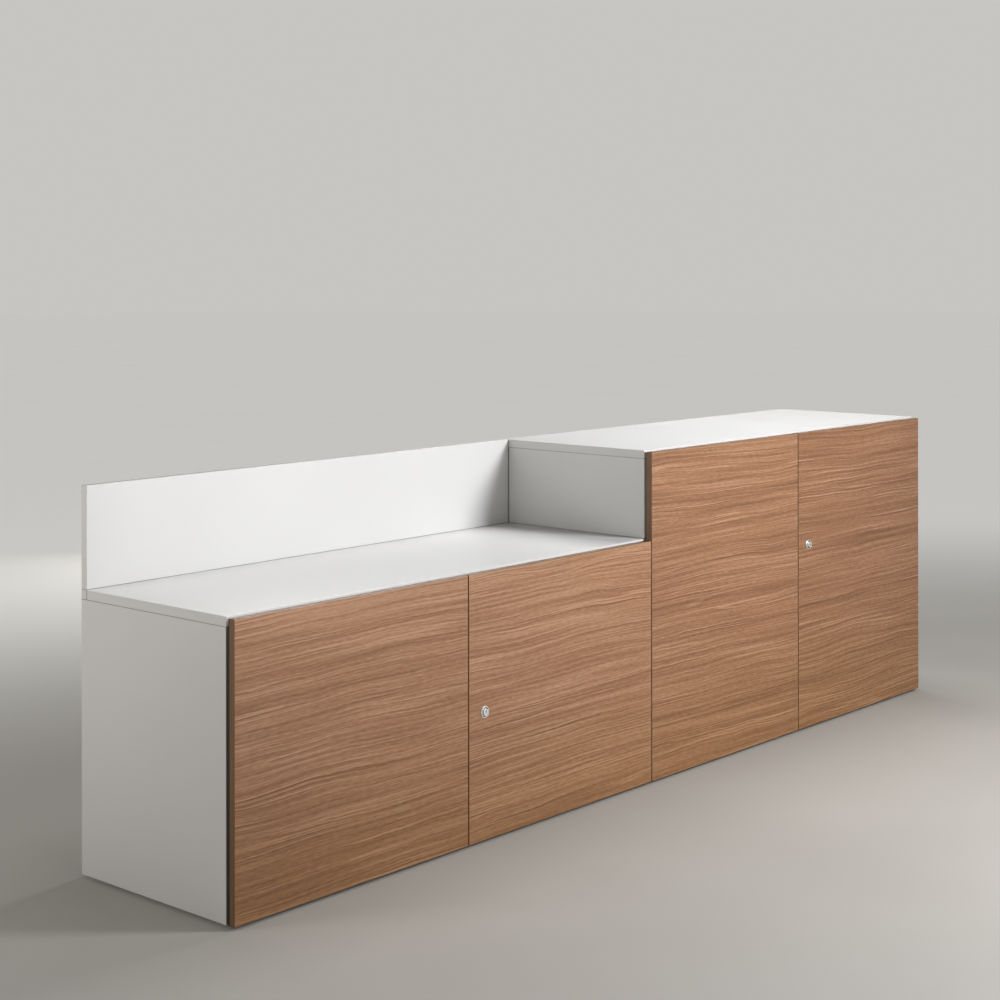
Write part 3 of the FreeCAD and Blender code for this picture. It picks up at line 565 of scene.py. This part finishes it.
def band_finish(number):
    material, shader, place = new_finish(f"door_{number}_band")
    figure = place.stretch(BROWN_FIGURE).noise(2.0)
    x, y, z = place.parts()
    low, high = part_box(f"door_{number}_panel")
    start = high.y - BACK_SHADE_DEPTH[number]
    top = high.z - TOP_CLEAR
    # painted shade on the back strip of the band down the door's sides, left off along the top
    back = y.step(start, start + BACK_SHADE_SOFT) * (1.0 - z.step(top, top + TOP_SOFT))
    colour = two_tones(figure, BROWN_TONES, 0.35, 0.65)
    plug(shader, base_color=mix(back, colour, shade(BAND_BACK_SHADE)), roughness=between(figure, BROWN_ROUGH))
    return material


for number in DOORS:
    dress(f"door_{number}_edge_band", band_finish(number))
print(len(DOORS), "brown bands")

# %% [markdown]
# ## Metal, plastic, rubber and beech
# The fittings are small, and most of them show only with a door open. One function makes a plain finish of a
# colour that drifts between two tones and a roughness that drifts with it, at a scale that suits the piece. The
# metals are told apart by their gloss: plated steel is satin, cast zinc is dull and the locks are brightest.

# %% Finishes of the fittings
FINER = 12.0
CHROME_TONES = ((0.86, 0.86, 0.85), (0.94, 0.94, 0.93))
CHROME_ROUGH = (0.36, 0.46)
CHROME_DRIFT = 90.0


def fitting_finish(name, tones, rough, scale, metallic=0.0, relief=0.00001):
    material, shader, place = new_finish(name)
    drift = place.stretch(even(scale)).noise(3.0, 0.6)
    fine = place.stretch(even(scale * FINER)).noise()
    shader.inputs["Metallic"].default_value = metallic
    plug(shader, base_color=two_tones(drift, tones), roughness=between(drift, rough), normal=bump(fine, relief))
    return material


STEEL = fitting_finish("plated_steel", ((0.56, 0.55, 0.52), (0.68, 0.67, 0.64)), (0.22, 0.34), 60.0, 1.0)
ZINC = fitting_finish("cast_zinc", ((0.40, 0.40, 0.41), (0.50, 0.50, 0.51)), (0.38, 0.55), 120.0, 1.0, 0.00003)
CHROME = fitting_finish("satin_chrome", CHROME_TONES, CHROME_ROUGH, CHROME_DRIFT, 1.0)
BLACK = fitting_finish("black_plastic", ((0.022, 0.022, 0.022), (0.034, 0.034, 0.034)), (0.42, 0.55), 80.0)
RUBBER = fitting_finish("clear_rubber", ((0.60, 0.60, 0.57), (0.68, 0.68, 0.65)), (0.30, 0.42), 150.0)
BEECH = fitting_finish("beech", ((0.50, 0.33, 0.19), (0.62, 0.44, 0.27)), (0.55, 0.70), 90.0)
SLOT_FINISH = {"nickel_steel": STEEL, "die_cast_zinc": ZINC, "lock_chrome": CHROME, "black_plastic": BLACK,
               "clear_rubber": RUBBER, "beech": BEECH}

fittings = [piece for piece in frame["record"]["subparts"] if piece["material_slot"] in SLOT_FINISH]
for piece in fittings:
    dress(piece["node"], SLOT_FINISH[piece["material_slot"]])
print(len(fittings), "fittings in", len(SLOT_FINISH), "finishes")

# %% [markdown]
# A lock's flange is turned and satin-chromed like its plug. The slope from the flange into its mouth is rougher, and
# the shade in that hollow is painted on it as a dark ring. The ring is found by its distance from the lock's axis.

# %% Lock barrels
LOCKED_DOORS = [number for number in DOORS if f"door_{number}_lock_barrel" in nodes]
MOUTH_R = 0.0099
MOUTH_SOFT = 0.0004
# painted shade in the lock's mouth
MOUTH_SHADE = (0.075, 0.070, 0.065)
MOUTH_DULL = 0.2


def barrel_finish(number):
    material, shader, place = new_finish(f"door_{number}_lock")
    low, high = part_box(f"door_{number}_lock_barrel")
    x, y, z = place.stretch(even(1.0), (low + high) * -0.5).parts()
    radius = x.maths("SQRT", x * x + z * z)
    # the mouth's ring, where shade is painted and the roughness rises
    mouth = 1.0 - radius.step(MOUTH_R - MOUTH_SOFT, MOUTH_R)
    drift = place.stretch(even(CHROME_DRIFT)).noise(3.0, 0.6)
    shader.inputs["Metallic"].default_value = 1.0
    plug(shader, base_color=mix(mouth, two_tones(drift, CHROME_TONES), shade(MOUTH_SHADE)),
         roughness=between(drift, CHROME_ROUGH) + mouth * MOUTH_DULL)
    return material


for number in LOCKED_DOORS:
    dress(f"door_{number}_lock_barrel", barrel_finish(number))
print(len(LOCKED_DOORS), "lock barrels")

# %% [markdown]
# ## Faces of the locks
# The plug's face stands a little in front of the flange and has the keyway through it. It could be a disc with a hole
# cut by a boolean, but it is drawn as one ring: a circle of edges is drawn up as its wall, drawn in over the face to
# the keyway's outline, and drawn down as the keyway's wall. The two loops at its foot are then joined underneath, and
# the outer edge is rounded.

# %% One plug face
FACE_R = 0.0072
FACE_RISE = 0.0030
FACE_ROUND = 0.0007
FACE_SIDES = 48
KEYWAY_HALF = 0.0017
KEYWAY_STRAIGHT = 0.0026
HARDLY = 1e-9
ROUND_STEPS = 3


def keyway_point(point):
    """Where the line from the middle to a point crosses the keyway's outline, a slot with round ends."""
    x, y = Vector(point[:2]).normalized()
    reach = KEYWAY_HALF / max(abs(x), HARDLY)
    if reach * abs(y) > KEYWAY_STRAIGHT:
        reach = KEYWAY_STRAIGHT * abs(y) + math.sqrt(KEYWAY_HALF ** 2 - (KEYWAY_STRAIGHT * x) ** 2)
    return Vector((x * reach, y * reach, point[2]))


def draw_on(shape, loop, move):
    """Extrudes a loop of edges, moves its new corners and returns the new loop."""
    made = bmesh.ops.extrude_edge_only(shape, edges=loop)["geom"]
    corners = {part for part in made if isinstance(part, bmesh.types.BMVert)}
    for corner in corners:
        corner.co = move(corner.co)
    return [part for part in made if isinstance(part, bmesh.types.BMEdge) and corners.issuperset(part.verts)]


def round_off(shape, edges, width):
    bmesh.ops.bevel(shape, geom=edges, offset=width, affect="EDGES", segments=ROUND_STEPS, profile=0.5, material=-1)


def plug_face():
    """A ring that stands on Z = 0."""
    rise = Vector((0.0, 0.0, FACE_RISE))
    shape = bmesh.new()
    bmesh.ops.create_circle(shape, segments=FACE_SIDES, radius=FACE_R)
    foot = list(shape.edges)
    rim = draw_on(shape, foot, lambda point: point + rise)
    mouth = draw_on(shape, rim, keyway_point)
    inner_foot = draw_on(shape, mouth, lambda point: point - rise)
    bmesh.ops.bridge_loops(shape, edges=foot + inner_foot)
    round_off(shape, rim, FACE_ROUND)
    bmesh.ops.recalc_face_normals(shape, faces=shape.faces)
    return shape


# %% [markdown]
# A face is made on the floor, turned to look out of the door and moved to its plug. It rides on the lock's body and
# not on the door's, so the keyway turns with the lock.

# %% Put the plug faces on


def turned_to(way):
    """A matrix that turns Z to look along a direction."""
    return Vector(way).to_track_quat("Z", "Y").to_matrix().to_4x4()


outward = (0.0, -1.0, 0.0)
for number in LOCKED_DOORS:
    low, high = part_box(f"door_{number}_lock_plug")
    seat = Vector(((low.x + high.x) / 2, low.y, (low.z + high.z) / 2))
    shape = plug_face()
    bmesh.ops.transform(shape, matrix=Matrix.Translation(seat) @ turned_to(outward), verts=shape.verts)
    face = new_piece(f"lock_{number}_plug_face", shape, CHROME)
    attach(face, f"lock_{number}")
    print("plug face", number, "has", len(face.data.polygons), "faces")

# %% [markdown]
# ## Screws
# The hinges, the rod guides and the bolt cases are held by small screws. A screw head is pressed from a disc with
# a cross sunk into it for the driver. Here it starts as a grid of five by five faces: the five in the middle are
# sunk, the rim is drawn out to a circle, and the rim's edge is carried down to the piece underneath and rounded.

# %% One screw head
HEAD_R = 0.0034
HEAD_RISE = 0.0013
HEAD_ROUND = 0.0005
HEAD_GRID = 5
CROSS_DEPTH = 0.0009
CROSS_HALF = HEAD_R / 10
CROSS_REACH = HEAD_R / 2


def in_cross(face):
    """True for the middle face of the grid and its four neighbours."""
    x, y, z = face.calc_center_median()
    return min(abs(x), abs(y)) < CROSS_HALF and max(abs(x), abs(y)) < CROSS_REACH


def corners_of(made):
    return [part for part in made if isinstance(part, bmesh.types.BMVert)]


def open_edges(shape):
    return [edge for edge in shape.edges if edge.is_boundary]


def screw_head():
    """Mesh of a head that stands on Z = 0."""
    shape = bmesh.new()
    bmesh.ops.create_grid(shape, x_segments=HEAD_GRID, y_segments=HEAD_GRID, size=HEAD_R)
    cross = [face for face in shape.faces if in_cross(face)]
    for vert in {vert for edge in open_edges(shape) for vert in edge.verts}:
        vert.co = vert.co.normalized() * HEAD_R
    bmesh.ops.translate(shape, vec=(0.0, 0.0, HEAD_RISE), verts=shape.verts)
    sunk = bmesh.ops.extrude_face_region(shape, geom=cross)["geom"]
    bmesh.ops.translate(shape, vec=(0.0, 0.0, -CROSS_DEPTH), verts=corners_of(sunk))
    rim = open_edges(shape)
    wall = bmesh.ops.extrude_edge_only(shape, edges=rim)["geom"]
    bmesh.ops.translate(shape, vec=(0.0, 0.0, -HEAD_RISE), verts=corners_of(wall))
    round_off(shape, rim, HEAD_ROUND)
    bmesh.ops.holes_fill(shape, edges=open_edges(shape), sides=0)
    bmesh.ops.recalc_face_normals(shape, faces=shape.faces)
    mesh = bpy.data.meshes.new("screw_head")
    shape.to_mesh(mesh)
    shape.free()
    return mesh


HEAD = screw_head()
print("a screw head has", len(HEAD.polygons), "faces")

# %% [markdown]
# The screws of one body are one piece, so that they swing with their door. No two screws are tightened to the same
# angle, so each one is turned a little further than the one before. Their places are read from the fittings, whose
# several copies are told apart by the gaps between their heights.

# %% Tools to put screws in
SCREW_TURN = 0.7
COPY_GAP = 0.02


def points_of(node):
    return [vert.co for vert in nodes[node].data.vertices]


def levels(node):
    """Heights of the middles of a node's separate pieces."""
    heights = sorted(point.z for point in points_of(node))
    groups = [[heights[0]]]
    for before, height in zip(heights, heights[1:]):
        if height - before > COPY_GAP:
            groups.append([])
        groups[-1].append(height)
    return [(group[0] + group[-1]) / 2 for group in groups]


def set_screws(name, body, seats):
    """One piece with a screw head on each seat, which is a place and the way the head faces."""
    shape = bmesh.new()
    for index, (place, way) in enumerate(seats):
        before = len(shape.verts)
        shape.from_mesh(HEAD)
        shape.verts.ensure_lookup_table()
        turn = Matrix.Rotation(SCREW_TURN * index, 4, "Z")
        matrix = Matrix.Translation(place) @ turned_to(way) @ turn
        bmesh.ops.transform(shape, matrix=matrix, verts=shape.verts[before:])
    piece = new_piece(name, shape, STEEL)
    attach(piece, body)
    print(len(seats), "screws on", body)


# %% [markdown]
# On a door, the screws hold the ears of the two hinge cups, and the feet of the bolt case or of the rod guides. A bolt
# case has two pairs of feet, and a rod guide has one pair.

# %% Screws of the doors
EAR_SCREW = 0.024
FOOT_SCREW = 0.010
CASE_SCREW = 0.019
LEFT_HINGED = (1, 3)

inward = (0.0, 1.0, 0.0)
for number in DOORS:
    door = f"door_{number}"
    low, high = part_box(f"{door}_hinge_cups")
    seats = [(Vector(((low.x + high.x) / 2, high.y, level + step)), inward)
             for level in levels(f"{door}_hinge_cups") for step in (-EAR_SCREW, EAR_SCREW)]
    holder = f"{door}_bolt_case" if number in LEFT_HINGED else f"{door}_rod_guides"
    steps = (-CASE_SCREW, CASE_SCREW) if number in LEFT_HINGED else (0.0,)
    low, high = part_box(holder)
    rod_x = (low.x + high.x) / 2
    foot_y = max(point.y for point in points_of(holder) if abs(point.x - rod_x) > FOOT_SCREW)
    seats += [(Vector((rod_x + side, foot_y, level + step)), inward)
              for level in levels(holder) for side in (-FOOT_SCREW, FOOT_SCREW) for step in steps]
    set_screws(f"{door}_screws", door, seats)

# %% [markdown]
# On the carcass, two screws hold the wings of each hinge plate on the side board, and two adjusters sit on each hinge
# arm, one behind the other. All of them face away from their side board.

# %% Screws of the carcass
WING_SCREW = 0.016
WING_BOARD = 0.002
ADJUSTERS = (0.030, 0.050)
HINGE_ZONE = 0.05
LOW_DOORS = (1, 2)

plate_low, plate_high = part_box("hinge_plates")
plate_y = (plate_low.y + plate_high.y) / 2
seats = []
for number in DOORS:
    hand = 1.0 if number in LEFT_HINGED else -1.0
    unit = "low" if number in LOW_DOORS else "tall"
    wall_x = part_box(f"{unit}_left_side")[1].x if hand > 0 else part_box(f"{unit}_right_side")[0].x
    door_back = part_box(f"door_{number}_panel")[1].y
    arm_x = hand * max(hand * point.x for point in points_of("hinge_arms") if abs(point.x - wall_x) < HINGE_ZONE)
    facing = (hand, 0.0, 0.0)
    for level in levels(f"door_{number}_hinge_cups"):
        seats += [(Vector((wall_x + hand * WING_BOARD, plate_y, level + step)), facing)
                  for step in (-WING_SCREW, WING_SCREW)]
        seats += [(Vector((arm_x, door_back + back, level)), facing) for back in ADJUSTERS]
set_screws("carcass_screws", "carcass", seats)
